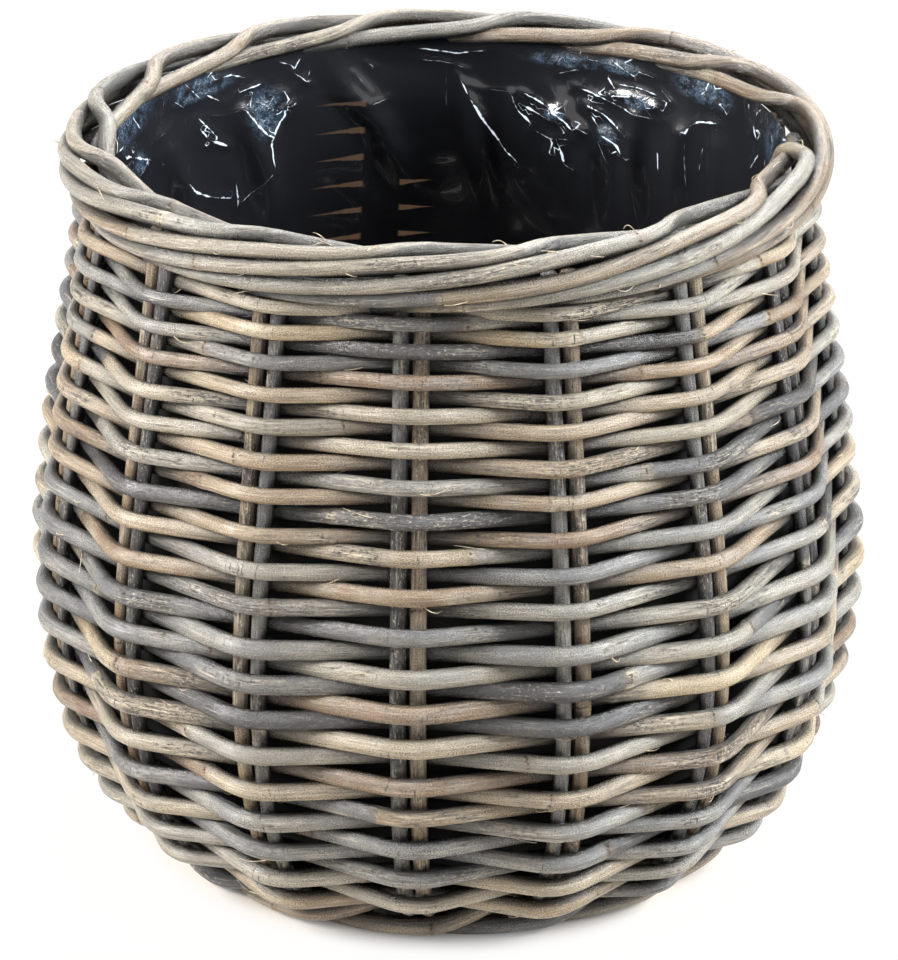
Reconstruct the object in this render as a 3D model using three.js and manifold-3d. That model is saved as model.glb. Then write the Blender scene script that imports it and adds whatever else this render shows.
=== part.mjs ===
// A round rattan planter: sixteen stakes run up one side, across the base and up the other side,
// weavers go round them in pairs, a rolled border closes the top and a film liner hangs inside.
// Millimetres, +Z up, the floor at z = 0 and the front of the planter towards -Y.
import * as THREE from 'three';
import { mergeVertices } from 'three/addons/utils/BufferGeometryUtils.js';
import Module from 'manifold-3d';

const wasm = await Module();
wasm.setup();

// Outline of the wall, along the centre lines of the stakes
const bellyRadius = 188.8;
const bellyHeight = 127;
const neckRadius = 163.5;
const wallHeight = 316.7;
const baseRadius = 122;
const baseFullness = 36;
const bellyFullnessBelow = 70;
const bellyFullnessAbove = 45;
const neckLean = 10.5;
const neckStraight = 70;

// Rods
const stakeDiameter = 7;
const footWeaverDiameter = 8.2;
const bellyWeaverDiameter = 8.9;
const neckWeaverDiameter = 6.1;
const footRodDiameter = 8.5;
const borderRodDiameter = 8.5;
const baseWeaverDiameter = 6.4;

// Weave
const pairsPerArm = 4;
const pairSpacing = 9.7;
const firstPairAngle = -5.1;
const weaverRodPairs = 30;
const baseWeaveWidth = 24;
const footRowSpread = 1.15;

// Border
const borderOverhang = 2.5;
const borderStrands = 6;

// Liner
const filmThickness = 0.8;
const tuckAngle = 20;
const filmClearance = 0.5;

// Fits
const rowClearance = 0.35;
const crossingClearance = 0.45;
const jointGap = 0.3;
const flatShare = 0.15;

// Facets
const rodSides = 5;
const stakeSides = 4;
const spansBelowBelly = 4;
const spansAboveBelly = 3;
const borderSpans = 10;

// Worked out from the sizes above
const pairCount = 4 * pairsPerArm;
const pairAngle = 2 * Math.PI / pairCount;
const stakeRadius = stakeDiameter / 2;
const halfSpacing = pairSpacing / 2;
const baseWeaveRadius = baseRadius - baseWeaveWidth;
const borderRadius = neckRadius + borderOverhang;
const radians = THREE.MathUtils.degToRad;

// The outline of one side from the axis to the border, as straight spans that stakes, weavers and liner share
function wallOutline() {
  const baseEdge = new THREE.Vector2(baseRadius, 0);
  const belly = new THREE.Vector2(bellyRadius, bellyHeight);
  const neck = new THREE.Vector2(neckRadius, wallHeight);
  const below = new THREE.CubicBezierCurve(
    baseEdge,
    new THREE.Vector2(baseRadius + baseFullness, 0),
    new THREE.Vector2(bellyRadius, bellyHeight - bellyFullnessBelow),
    belly,
  );
  const above = new THREE.CubicBezierCurve(
    belly,
    new THREE.Vector2(bellyRadius, bellyHeight + bellyFullnessAbove),
    new THREE.Vector2(neckRadius + neckLean, wallHeight - neckStraight),
    neck,
  );
  const points = below.getPoints(spansBelowBelly).concat(above.getPoints(spansAboveBelly).slice(1));
  const corners = [{ radius: 0, height: 0, length: 0, lean: 0 }];
  points.forEach((point, index) => {
    const last = corners[corners.length - 1];
    const before = index === 0 ? new THREE.Vector2(0, 0) : points[index - 1];
    const after = points[Math.min(index + 1, points.length - 1)];
    const length = last.length + Math.hypot(point.x - last.radius, point.y - last.height);
    const lean = Math.atan2(after.y - before.y, after.x - before.x);
    corners.push({ radius: point.x, height: point.y, length, lean });
  });
  return corners;
}

const outline = wallOutline();
const wallLength = outline[outline.length - 1].length;
const bellyLength = outline[1 + spansBelowBelly].length;

// The point of the outline at a length from the axis, with the lean of the wall there
function outlineAt(length) {
  const found = outline.findIndex((corner) => corner.length > length);
  const upper = found < 1 ? outline.length - 1 : found;
  const a = outline[upper - 1];
  const b = outline[upper];
  const share = (length - a.length) / (b.length - a.length);
  return {
    radius: THREE.MathUtils.lerp(a.radius, b.radius, share),
    height: THREE.MathUtils.lerp(a.height, b.height, share),
    lean: THREE.MathUtils.lerp(a.lean, b.lean, share),
  };
}

// A place near the wall: length along the outline, offset outwards from it, and a sideways step from a pair's angle
function place(angle, length, offset, sideways) {
  const { radius, height, lean } = outlineAt(length);
  const reach = radius + offset * Math.sin(lean);
  const rise = height - offset * Math.cos(lean);
  return new THREE.Vector3(
    reach * Math.sin(angle) + sideways * Math.cos(angle),
    -reach * Math.cos(angle) + sideways * Math.sin(angle),
    rise,
  );
}

function angleOfPair(pair) {
  return radians(firstPairAngle) + pair * pairAngle;
}

// A rod's centre line through stations, one ring of its section on each, mitred where it bends
class Route extends THREE.Curve {
  constructor(stations, before = null, after = null) {
    super();
    this.stations = stations;
    this.before = before;
    this.after = after;
  }

  getPoint(share, target = new THREE.Vector3()) {
    return target.copy(this.stations[Math.round(share * (this.stations.length - 1))]);
  }

  getPointAt(share, target) {
    return this.getPoint(share, target);
  }

  getTangentAt(share, target = new THREE.Vector3()) {
    const index = Math.round(share * (this.stations.length - 1));
    const here = this.stations[index];
    const before = this.stations[index - 1] ?? this.before ?? here;
    const after = this.stations[index + 1] ?? this.after ?? here;
    const arriving = here.clone().sub(before).normalize();
    const leaving = after.clone().sub(here).normalize();
    return target.copy(arriving).add(leaving).normalize();
  }
}

function sweepRod(route, diameter, sides) {
  const corners = [];
  for (let side = 0; side < sides; side += 1) {
    const turn = (side + 0.5) * 2 * Math.PI / sides;
    corners.push(new THREE.Vector2(Math.cos(turn), Math.sin(turn)).multiplyScalar(diameter / 2));
  }
  return new THREE.ExtrudeGeometry(new THREE.Shape(corners), {
    extrudePath: route,
    steps: route.stations.length - 1,
    bevelEnabled: false,
  });
}

// One long route cut into rods at chosen stations, which lie behind a pair, with a small gap at each joint
function cutRoute(stations, cuts, closed) {
  const pieces = [];
  for (let cut = 0; cut < cuts.length - 1; cut += 1) {
    const first = cuts[cut];
    const last = cuts[cut + 1];
    const piece = stations.slice(first, last + 1).map((station) => station.clone());
    const wrapped = closed ? stations.length - 1 : 0;
    const before = stations[first - 1] ?? stations[wrapped - 1] ?? null;
    const after = stations[last + 1] ?? (closed ? stations[1] : null);
    const route = new Route(piece, before, after);
    const startTangent = route.getTangentAt(0);
    const endTangent = route.getTangentAt(1);
    piece[0].addScaledVector(startTangent, jointGap / 2);
    piece[piece.length - 1].addScaledVector(endTangent, -jointGap / 2);
    pieces.push(route);
  }
  return pieces;
}

const planter = new THREE.Group();
const weathered = [0xb5aa9b, 0xa59a8e, 0x9c8c78, 0xaba69f, 0x8f857a];

function addPiece(name, geometry, color, roughness = 0.62, metalness = 0) {
  const material = new THREE.MeshStandardMaterial({ color, roughness, metalness });
  const mesh = new THREE.Mesh(geometry, material);
  mesh.name = name;
  planter.add(mesh);
}

// Stakes: each is one rod, up one side, across the base as an arm of the cross, and up the opposite side
const stakePitch = stakeDiameter + rowClearance;
const stakesPerArm = 2 * pairsPerArm;
const armHalfWidth = (stakesPerArm - 1) / 2 * stakePitch;
const crossHalf = armHalfWidth + stakeDiameter;
const fanMitre = Math.tan(pairAngle * (pairsPerArm - 1) / 4);
const layerLift = stakePitch / 2;

// The turn of an arm whose pairs fall on the pairs of the wall
function armAngle(arm) {
  return angleOfPair((pairsPerArm - 1) / 2 + arm * pairsPerArm);
}

function halfStake(arm, row, lift) {
  const sideways = (row - (stakesPerArm - 1) / 2) * stakePitch;
  const bendAt = crossHalf + (armHalfWidth - Math.abs(sideways)) * fanMitre;
  const forward = new THREE.Vector3(Math.sin(armAngle(arm)), -Math.cos(armAngle(arm)), 0);
  const across = new THREE.Vector3(Math.cos(armAngle(arm)), Math.sin(armAngle(arm)), 0);
  const bend = new THREE.Vector3(0, 0, lift).addScaledVector(forward, bendAt).addScaledVector(across, sideways);
  const angle = angleOfPair(arm * pairsPerArm + Math.floor(row / 2));
  const step = row % 2 === 0 ? -halfSpacing : halfSpacing;
  const wall = [place(angle, baseWeaveRadius - baseWeaverDiameter, 0, step)];
  outline.slice(1).forEach((corner) => wall.push(place(angle, corner.length, 0, step)));
  return [bend, ...wall];
}

for (let stake = 0; stake < 2 * stakesPerArm; stake += 1) {
  const arm = stake < stakesPerArm ? 0 : 1;
  const row = stake % stakesPerArm;
  const lift = arm === 0 ? -layerLift : layerLift;
  const near = halfStake(arm, row, lift);
  const far = halfStake(arm + 2, stakesPerArm - 1 - row, lift);
  const route = new Route([...far.reverse(), ...near]);
  const name = `stake_${String(stake + 1).padStart(2, '0')}`;
  addPiece(name, sweepRod(route, stakeDiameter, stakeSides), stake % 2 === 0 ? 0x8b8d91 : 0x94795c);
}

// How a weaver bends round a pair: where it turns, and how deep it runs behind both stakes
function bendOf(length, diameter) {
  const offset = stakeRadius + crossingClearance + diameter / 2;
  const reach = outlineAt(length).radius;
  const between = 2 * reach * Math.sin(pairAngle / 2);
  const slope = Math.atan2(2 * offset, between - halfSpacing);
  const turnAt = halfSpacing + offset * Math.tan(slope / 2);
  const share = halfSpacing / (between - turnAt);
  const extra = offset * (1 / Math.cos(slope) - 1 + 2 * share) / (1 - share);
  return { offset, turnAt, depth: offset + extra, between };
}

// Lengths of a rising row at each pair, when two weavers chase each other and rows lie on one another.
// The last step is behind a pair, and the second weaver has the same lengths from one step further on.
function risingRow(start, end, diameterAt) {
  const lengths = [start];
  while (lengths[lengths.length - 1] < end) {
    const length = lengths[lengths.length - 1];
    lengths.push(length + (diameterAt(length) + rowClearance) * 2 / pairCount);
  }
  const steps = 2 * Math.floor((lengths.length - 2) / 2);
  return { first: lengths.slice(0, steps + 1), second: lengths.slice(1, steps + 2) };
}

// Stations of a weaver that passes over every second pair and behind the others
function weaverStations(lengths, firstPair, diameterAt) {
  const stations = [];
  const behind = [];
  lengths.forEach((length, step) => {
    const angle = angleOfPair(firstPair + step);
    const bend = bendOf(length, diameterAt(length));
    if (step % 2 === 0) {
      behind.push(stations.length);
      stations.push(place(angle, length, -bend.depth, 0));
    } else {
      stations.push(place(angle, length, bend.offset, -bend.turnAt));
      stations.push(place(angle, length, bend.offset, bend.turnAt));
    }
  });
  return { stations, behind };
}

// One of the two chasing weavers as a row of rods, each butted to the next behind a pair
function addWeaver(name, lengths, firstPair, diameterAt, rodPairs, sides) {
  const { stations, behind } = weaverStations(lengths, firstPair, diameterAt);
  const lastStep = lengths.length - 1;
  const steps = [];
  for (let step = 0; step < lastStep; step += rodPairs) {
    steps.push(step);
  }
  steps.push(lastStep);
  const cuts = steps.map((step) => behind[step / 2]);
  cutRoute(stations, cuts, false).forEach((route, index) => {
    const from = lengths[steps[index]];
    const to = lengths[steps[index + 1]];
    const diameter = Math.min(diameterAt(from), diameterAt(to));
    const ending = steps.length > 2 ? `_${index + 1}` : '';
    const tone = weathered[(index * 2 + name.length + firstPair) % weathered.length];
    addPiece(name + ending, sweepRod(route, diameter, sides), tone);
  });
}

// Foot: three rods that each pass over two pairs and behind one, level all round, flat where they stand
const footPitch = footRodDiameter * footRowSpread;
const footLength = baseRadius + footRodDiameter + footPitch / 2;
const footBetween = 2 * outlineAt(footLength).radius * Math.sin(pairAngle / 2);
const footOffset = stakeRadius + crossingClearance + footRodDiameter / 2;
const footSlope = Math.atan2(2 * footOffset, footBetween);
const footReach = footOffset / Math.cos(footSlope) / (1 - pairSpacing / footBetween);

function footStations() {
  const stations = [];
  const behind = [];
  for (let pair = 0; pair < 3 * pairCount; pair += 1) {
    const angle = angleOfPair(pair);
    const nextGap = angleOfPair(pair + 0.5);
    const phase = pair % 3;
    if (phase === 0) {
      behind.push(stations.length);
      stations.push(place(angle, footLength, -footReach, 0));
      stations.push(place(nextGap, footLength - footPitch / 2, 0, 0));
    } else if (phase === 1) {
      stations.push(place(angle, footLength - footPitch / 2, footReach, 0));
    } else {
      stations.push(place(angle, footLength + footPitch / 2, footReach, 0));
      stations.push(place(nextGap, footLength + footPitch / 2, 0, 0));
    }
  }
  stations.push(stations[0].clone());
  behind.push(stations.length - 1);
  return { stations, behind };
}

const foot = footStations();
const lowestFoot = Math.min(...foot.stations.map((station) => station.z));
const floorHeight = lowestFoot - footRodDiameter / 2 + footRodDiameter * flatShare;

// Solids for the cut that levels the foot
function toSolid(geometry) {
  const bare = geometry.clone();
  bare.deleteAttribute('normal');
  bare.deleteAttribute('uv');
  const merged = mergeVertices(bare, 1e-4);
  return new wasm.Manifold(new wasm.Mesh({
    numProp: 3,
    vertProperties: new Float32Array(merged.attributes.position.array),
    triVerts: new Uint32Array(merged.index.array),
  }));
}

function toGeometry(solid) {
  const mesh = solid.getMesh();
  const geometry = new THREE.BufferGeometry();
  geometry.setAttribute('position', new THREE.BufferAttribute(new Float32Array(mesh.vertProperties), 3));
  geometry.setIndex(new THREE.BufferAttribute(new Uint32Array(mesh.triVerts), 1));
  geometry.computeVertexNormals();
  return geometry;
}

const groundWidth = 4 * bellyRadius;
const ground = new THREE.BoxGeometry(groundWidth, groundWidth, groundWidth);
ground.translate(0, 0, floorHeight - groundWidth / 2);
const groundSolid = toSolid(ground);
const footCuts = [0, pairCount - pairCount % 3, 2 * (pairCount - pairCount % 3), 3 * pairCount];
const footStops = footCuts.map((pair) => foot.behind[pair / 3]);
cutRoute(foot.stations, footStops, true).forEach((route, index) => {
  const rod = toSolid(sweepRod(route, footRodDiameter, rodSides));
  addPiece(`foot_rod_${index + 1}`, toGeometry(rod.subtract(groundSolid)), weathered[(index + 2) % 5]);
});

// Wall weave: two weavers half a turn apart, from the foot rods up to the border
function wallDiameter(length) {
  if (length < bellyLength) {
    const share = (length - footLength) / (bellyLength - footLength);
    return THREE.MathUtils.lerp(footWeaverDiameter, bellyWeaverDiameter, share);
  }
  const share = (length - bellyLength) / (wallLength - bellyLength);
  return THREE.MathUtils.lerp(bellyWeaverDiameter, neckWeaverDiameter, share);
}

const runSag = footBetween ** 2 / (8 * outlineAt(footLength).radius);
const firstRow = footLength + (footPitch + footRodDiameter + footWeaverDiameter) / 2 + rowClearance + runSag;
const lastRow = wallLength - neckWeaverDiameter;
const wallRows = risingRow(firstRow, lastRow, wallDiameter);
addWeaver('weaver_a', wallRows.first, pairCount / 2, wallDiameter, weaverRodPairs, rodSides);
addWeaver('weaver_b', wallRows.second, pairCount + 1, wallDiameter, weaverRodPairs, rodSides);

// Base weave: the same two chasing weavers, laid flat between the cross and the foot
function baseDiameter() {
  return baseWeaverDiameter;
}

const lastBaseRow = footLength - footPitch / 2 - (footRodDiameter + baseWeaverDiameter) / 2 - rowClearance;
const baseRows = risingRow(baseWeaveRadius, lastBaseRow, baseDiameter);
addWeaver('base_weaver_a', baseRows.first, pairCount / 2, baseDiameter, baseRows.first.length, stakeSides);
addWeaver('base_weaver_b', baseRows.second, pairCount + 1, baseDiameter, baseRows.first.length, stakeSides);

// Border: one rod for each pair, laid round a ring like a strand of rope, each butted to a later one
const borderTurn = borderStrands * pairAngle;
const facetLoss = Math.cos(Math.PI / borderSpans);
const strandSpacing = (borderRodDiameter + jointGap) / (2 * Math.sin(Math.PI / borderStrands));
const strandReach = strandSpacing / facetLoss;
const strandSlope = Math.atan2(strandReach * 2 * Math.PI / borderTurn, borderRadius);
const ropeRadius = strandReach / Math.cos(strandSlope);
const borderHeight = wallHeight + jointGap + borderRodDiameter / 2 + ropeRadius;

function borderStation(firstPair, span) {
  const angle = angleOfPair(firstPair + span / borderSpans * borderStrands);
  const wrap = span / borderSpans * 2 * Math.PI - Math.PI / 2;
  const reach = borderRadius + ropeRadius * Math.cos(wrap);
  return new THREE.Vector3(
    reach * Math.sin(angle),
    -reach * Math.cos(angle),
    borderHeight + ropeRadius * Math.sin(wrap),
  );
}

for (let pair = 0; pair < pairCount; pair += 1) {
  const stations = [];
  for (let span = -1; span <= borderSpans + 1; span += 1) {
    stations.push(borderStation(pair, span));
  }
  const [route] = cutRoute(stations, [1, borderSpans + 1], false);
  const name = `border_rod_${String(pair + 1).padStart(2, '0')}`;
  addPiece(name, sweepRod(route, borderRodDiameter, rodSides), weathered[(pair * 3) % 5]);
}

// Liner: a film bag that lies against the weave and is tucked under the border
function linerOffset(length) {
  const footSide = footReach + footRodDiameter / 2 + filmClearance;
  const top = bendOf(wallLength, neckWeaverDiameter);
  const neckSide = top.depth + neckWeaverDiameter / 2 + filmClearance;
  const belly = bendOf(bellyLength, bellyWeaverDiameter);
  const bellySide = belly.depth + bellyWeaverDiameter / 2 + filmClearance;
  if (length < footLength) {
    return footSide;
  }
  if (length < bellyLength) {
    return THREE.MathUtils.lerp(footSide, bellySide, (length - footLength) / (bellyLength - footLength));
  }
  return THREE.MathUtils.lerp(bellySide, neckSide, (length - bellyLength) / (wallLength - bellyLength));
}

function linerProfile() {
  const outer = [];
  const inner = [];
  const lengths = outline.map((corner) => corner.length);
  lengths.splice(2, 0, footLength);
  lengths.forEach((length) => {
    const { radius, height, lean } = outlineAt(length);
    [[outer, linerOffset(length)], [inner, linerOffset(length) + filmThickness]].forEach(([side, away]) => {
      side.push(new THREE.Vector2(radius - away * Math.sin(lean), height + away * Math.cos(lean)));
    });
  });
  const tuck = ropeRadius + borderRodDiameter / 2 + jointGap;
  const tuckHeight = borderHeight - tuck * Math.sin(radians(tuckAngle));
  const tuckRadius = borderRadius - tuck * Math.cos(radians(tuckAngle));
  outer.push(new THREE.Vector2(tuckRadius, tuckHeight));
  inner.push(new THREE.Vector2(tuckRadius - filmThickness, tuckHeight));
  return [...outer, ...inner.reverse()];
}

const liner = new THREE.LatheGeometry(linerProfile(), pairCount);
liner.rotateX(Math.PI / 2);
liner.rotateZ(angleOfPair(0));
addPiece('liner', liner, 0x0d0f12, 0.22);

planter.position.z = -floorHeight;

export default planter;
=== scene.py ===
import math
import bmesh
import bpy
import numpy as np
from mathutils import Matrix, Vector


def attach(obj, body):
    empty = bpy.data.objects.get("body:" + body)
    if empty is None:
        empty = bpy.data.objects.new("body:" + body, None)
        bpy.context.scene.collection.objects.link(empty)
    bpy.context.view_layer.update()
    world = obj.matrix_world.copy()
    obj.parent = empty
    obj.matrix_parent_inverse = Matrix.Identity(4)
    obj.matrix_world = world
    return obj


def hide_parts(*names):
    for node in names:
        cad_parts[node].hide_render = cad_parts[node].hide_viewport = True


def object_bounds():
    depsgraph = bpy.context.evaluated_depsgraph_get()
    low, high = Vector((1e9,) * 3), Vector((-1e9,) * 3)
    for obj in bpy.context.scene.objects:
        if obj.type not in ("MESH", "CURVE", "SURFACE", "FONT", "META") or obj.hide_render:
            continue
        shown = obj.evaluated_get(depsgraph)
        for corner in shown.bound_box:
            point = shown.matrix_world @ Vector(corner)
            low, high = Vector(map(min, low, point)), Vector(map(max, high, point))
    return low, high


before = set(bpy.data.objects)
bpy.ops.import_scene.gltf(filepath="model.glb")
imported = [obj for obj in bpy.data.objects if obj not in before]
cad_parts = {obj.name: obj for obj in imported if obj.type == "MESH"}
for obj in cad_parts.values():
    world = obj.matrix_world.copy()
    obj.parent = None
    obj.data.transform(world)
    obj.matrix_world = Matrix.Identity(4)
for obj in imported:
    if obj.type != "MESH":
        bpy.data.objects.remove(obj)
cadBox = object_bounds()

scene = bpy.context.scene
print("frame loaded:", len(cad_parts), "nodes")


def addObject(name, data):
    made = bpy.data.objects.new(name, data)
    scene.collection.objects.link(made)
    return made


# camera: the photo's own view, a little above the rim
camera = {
    "distance": 2.2085,
    "elevation": 23.36,
    "aimHeight": 0.1715,
    "aside": 0.0014,
    "lens": 173.3,
    "sensorWidth": 36,
}
tilt = math.radians(camera["elevation"])
cameraData = bpy.data.cameras.new("camera")
cameraData.lens = camera["lens"]
cameraData.sensor_width = camera["sensorWidth"]
cameraObject = addObject("camera", cameraData)
cameraObject.location = (
    camera["aside"],
    -camera["distance"] * math.cos(tilt),
    camera["aimHeight"] + camera["distance"] * math.sin(tilt),
)
cameraObject.rotation_euler = (math.pi / 2 - tilt, 0, 0)
scene.camera = cameraObject
scene.view_settings.view_transform = "Standard"


# shader helper: sums on a Shade add Math nodes, node() adds any other node
class Shade:
    def __init__(self, tree, socket=None):
        self.tree = tree
        self.socket = socket

    def node(self, kind, settings=None, inputs=None, output=0):
        made = self.tree.nodes.new(kind)
        for key, value in (settings or {}).items():
            if key == "stops":
                while len(made.color_ramp.elements) < len(value):
                    made.color_ramp.elements.new(0.5)
                for element, (position, colour) in zip(made.color_ramp.elements, value):
                    element.position = position
                    element.color = colour
            else:
                setattr(made, key, value)
        for key, value in (inputs or {}).items():
            if isinstance(value, Shade):
                self.tree.links.new(value.socket, made.inputs[key])
            else:
                made.inputs[key].default_value = value
        return Shade(self.tree, made.outputs[output] if made.outputs else None)

    def maths(self, operation, *values):
        return self.node("ShaderNodeMath", {"operation": operation}, dict(enumerate(values)))

    def __add__(self, other):
        return self.maths("ADD", self, other)

    def __sub__(self, other):
        return self.maths("SUBTRACT", self, other)

    def __mul__(self, other):
        return self.maths("MULTIPLY", self, other)

    def __truediv__(self, other):
        return self.maths("DIVIDE", self, other)

    def __rsub__(self, other):
        return self.maths("SUBTRACT", other, self)

    def __abs__(self):
        return self.maths("ABSOLUTE", self)

    __radd__ = __add__
    __rmul__ = __mul__

    def output(self, key):  # another output of the same node
        return Shade(self.tree, self.socket.node.outputs[key])

    def attribute(self, name):
        return self.node("ShaderNodeAttribute", {"attribute_name": name}, {}, 2)

    def between(self, low, high):  # 0 below low, 1 above high, smooth from one to the other
        settings = {"interpolation_type": "SMOOTHSTEP"}
        return self.node("ShaderNodeMapRange", settings, {0: self, 1: low, 2: high})

    def mix(self, first, second):  # from first to second as this goes from 0 to 1
        return self.node("ShaderNodeMix", {"data_type": "RGBA"}, {0: self, 6: first, 7: second}, 2)

    def scaled(self, factor):  # a colour made lighter or darker
        return self.node("ShaderNodeVectorMath", {"operation": "SCALE"}, {0: self, 3: factor})

    def noise(self, vector, scale, detail=4, roughness=0.55):
        inputs = {"Vector": vector, "Scale": scale, "Detail": detail, "Roughness": roughness}
        return self.node("ShaderNodeTexNoise", {}, inputs)

    def place(self):  # where a point lies on its own object
        return self.node("ShaderNodeTexCoord", {}, {}, 3)


def colourOf(red, green, blue):  # screen colour to the linear colour that a shader reads
    linear = [((c / 255 + 0.055) / 1.055) ** 2.4 if c > 10 else c / 3295 for c in (red, green, blue)]
    return (*linear, 1)


def newMaterial(name):
    material = bpy.data.materials.new(name)
    material.use_nodes = True
    material.node_tree.nodes.clear()
    return material, Shade(material.node_tree)


def finishMaterial(sheet, inputs, bump=None):
    if bump:
        height, distance, strength = bump
        inputs["Normal"] = sheet.node(
            "ShaderNodeBump", {}, {"Height": height, "Distance": distance, "Strength": strength})
    skin = sheet.node("ShaderNodeBsdfPrincipled", {}, inputs)
    sheet.node("ShaderNodeOutputMaterial", {}, {"Surface": skin})


# Rattan: washed grey canes, each length between two nodes with its own tone
rattanLook = {
    "tones": [
        (0.00, colourOf(40, 38, 38)),
        (0.12, colourOf(70, 71, 75)),
        (0.28, colourOf(116, 117, 117)),
        (0.42, colourOf(147, 143, 132)),
        (0.56, colourOf(162, 149, 127)),
        (0.70, colourOf(146, 126, 101)),
        (0.84, colourOf(116, 90, 67)),
        (1.00, colourOf(176, 160, 130)),
    ],
    "wash": colourOf(164, 160, 150),
    "streak": colourOf(52, 42, 34),
    "speckDark": colourOf(34, 27, 22),
    "speckPale": colourOf(226, 215, 194),
    "scarLine": colourOf(44, 34, 27),
    "scarCollar": colourOf(140, 114, 86),
    "relief": (0.0011, 0.85),    # depth and strength of the bump
}


# shadeFrom: where round the cane the painted shade between canes begins, 0 being its outward side
def rattanMaterial(name, shade, contrast=1.0, shadeFrom=0.16):
    material, sheet = newMaterial(name)
    look = rattanLook
    rodMap = sheet.node("ShaderNodeUVMap", {"uv_map": "rodMap"})
    along = sheet.node("ShaderNodeSeparateXYZ", {}, {0: rodMap})
    around = along.output(1)
    tone, ring, crust = [sheet.attribute(key) for key in ("tone", "ring", "crust")]
    hidden, bend, edge = [sheet.attribute(key) for key in ("hidden", "bend", "edge")]

    def noiseOf(lengthwise, roundwise, cut, detail=2, roughness=0.55):  # stretched along the cane
        spot = {0: along * lengthwise, 1: around * roundwise, 2: cut}
        return sheet.noise(sheet.node("ShaderNodeCombineXYZ", {}, spot), 1, detail, roughness)

    fibre = noiseOf(45, 850, along * 2, 6, 0.7)
    hair = noiseOf(130, 3600, 3.0)
    blotch = noiseOf(24, 50, 7.0, 4, 0.6)
    speck = noiseOf(420, 800, 1.0, 3, 0.7)
    grain = noiseOf(1300, 1900, 5.0)
    crack = noiseOf(1000, 110, 11.0)
    furrows = noiseOf(90, 1900, 17.0)

    mixed = tone + (blotch - 0.5) * 0.34 + (fibre - 0.5) * 0.16
    cane = sheet.node("ShaderNodeValToRGB", {"stops": look["tones"]}, {0: mixed})
    wash = blotch.between(0.44, 0.66) * tone.between(0.0, 0.3) * 0.45
    cane = wash.mix(cane, look["wash"])
    worn = sheet.maths("MINIMUM", crust + blotch.between(0.54, 0.66) * 0.8, 1.0)
    light = (0.5 - fibre) * (worn * 2.2 + 1.3) * contrast + (speck - 0.5) * 1.5 + (grain - 0.5) * 1.9 + 1
    cane = cane.scaled(light * shade)
    streak = fibre.between(0.55, 0.63) * (worn * 0.6 + 0.25) + hair.between(0.59, 0.7) * 0.45
    bright = fibre.between(0.45, 0.34) * (worn * 0.3 + 0.2)
    furrow = (furrows + worn * 0.06).between(0.6, 0.64) * (worn * 0.9 + 0.06)
    darkSpeck = speck.between(0.56, 0.61) * (worn * 0.85 + 0.2)
    paleSpeck = speck.between(0.43, 0.37) * (worn * 0.45 + 0.1)

    # the scar of a node: a broken dark line, pits and a pale patch beside it
    far = abs(ring + (fibre - 0.5) * 4 + (blotch - 0.5) * 9)
    collar = far.between(7.0, 1.0) * speck.between(0.42, 0.6) * 0.5
    patch = far.between(3.6, 1.0) * blotch.between(0.52, 0.6) * fibre.between(0.62, 0.44) * 0.75
    line = far.between(0.9, 0.2) * speck.between(0.46, 0.56) * fibre.between(0.38, 0.5) * 0.9
    pits = far.between(4.5, 1.0) * grain.between(0.58, 0.66)
    line = sheet.maths("MAXIMUM", line, pits * 0.8)
    split = crack.between(0.61, 0.67) * bend * blotch.between(0.46, 0.56) * 0.85
    layers = [
        (streak, "streak"), (bright, "speckPale"), (furrow, "scarLine"), (darkSpeck, "speckDark"),
        (paleSpeck, "speckPale"), (collar, "scarCollar"), (patch, "speckPale"), (line, "scarLine"),
        (split, "scarLine"),
    ]
    for layer, colour in layers:
        cane = layer.mix(cane, look[colour])
    # painted shade where a cane meets its neighbours, and a painted shadow where it goes behind the stakes
    paintedShade = edge.between(shadeFrom, shadeFrom + 0.44) * (0.6 + blotch * 0.4)
    cane = cane.scaled((1 - paintedShade) * (1 - hidden * 0.93))

    height = hair * 0.3 + grain * 0.2 - fibre * (worn * 0.5 + 0.4) - darkSpeck * 0.6 + paleSpeck * 0.3
    height = height + patch * 0.5 - line * 0.9 - split * 0.8 - furrow * 0.7
    rough = blotch * 0.2 + worn * 0.25 + grain * 0.14 + 0.1
    skin = {"Base Color": cane, "Roughness": rough, "Specular IOR Level": 0.85}
    finishMaterial(sheet, skin, (height, *look["relief"]))
    return material


caneMaterial = rattanMaterial("weathered cane", shade=0.85)
stakeMaterial = rattanMaterial("stake cane", shade=0.7, contrast=1.8)
# the border's painted shade between canes reaches nearer its outward side
borderMaterial = rattanMaterial("border cane", shade=0.66, contrast=1.3, shadeFrom=0.06)
print("rattan materials made")


# the wall that everything follows, in millimetres
wall = {
    "bellyRadius": 188.8,
    "bellyHeight": 127,
    "neckRadius": 163.5,
    "height": 316.7,
    "baseRadius": 122,
    "baseFullness": 36,
    "fullBelow": 70,
    "fullAbove": 45,
    "neckLean": 10.5,
    "neckStraight": 70,
    "floorLift": 10.086,
    "pairs": 16,
    "firstPair": -5.1,
    "spansBelow": 4,
    "spansAbove": 3,
}
stakes = {
    "diameter": 7.0,
    "spacing": 8.9,
    "reach": 11.0,
    "weaveStart": 98.0,
    "shown": 7.6,
    "depthShare": 0.8,
    "outward": 0.7,
}
rodClearance = 0.15
pairAngle = 2 * math.pi / wall["pairs"]


def smooth(t):  # from 0 to 1 without corners
    t = np.clip(t, 0, 1)
    return t * t * (3 - 2 * t)


def lengthsAlong(path):  # how far along the path each point lies
    return np.concatenate([[0], np.cumsum(np.sqrt((np.diff(path, axis=0) ** 2).sum(1)))])


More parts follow.
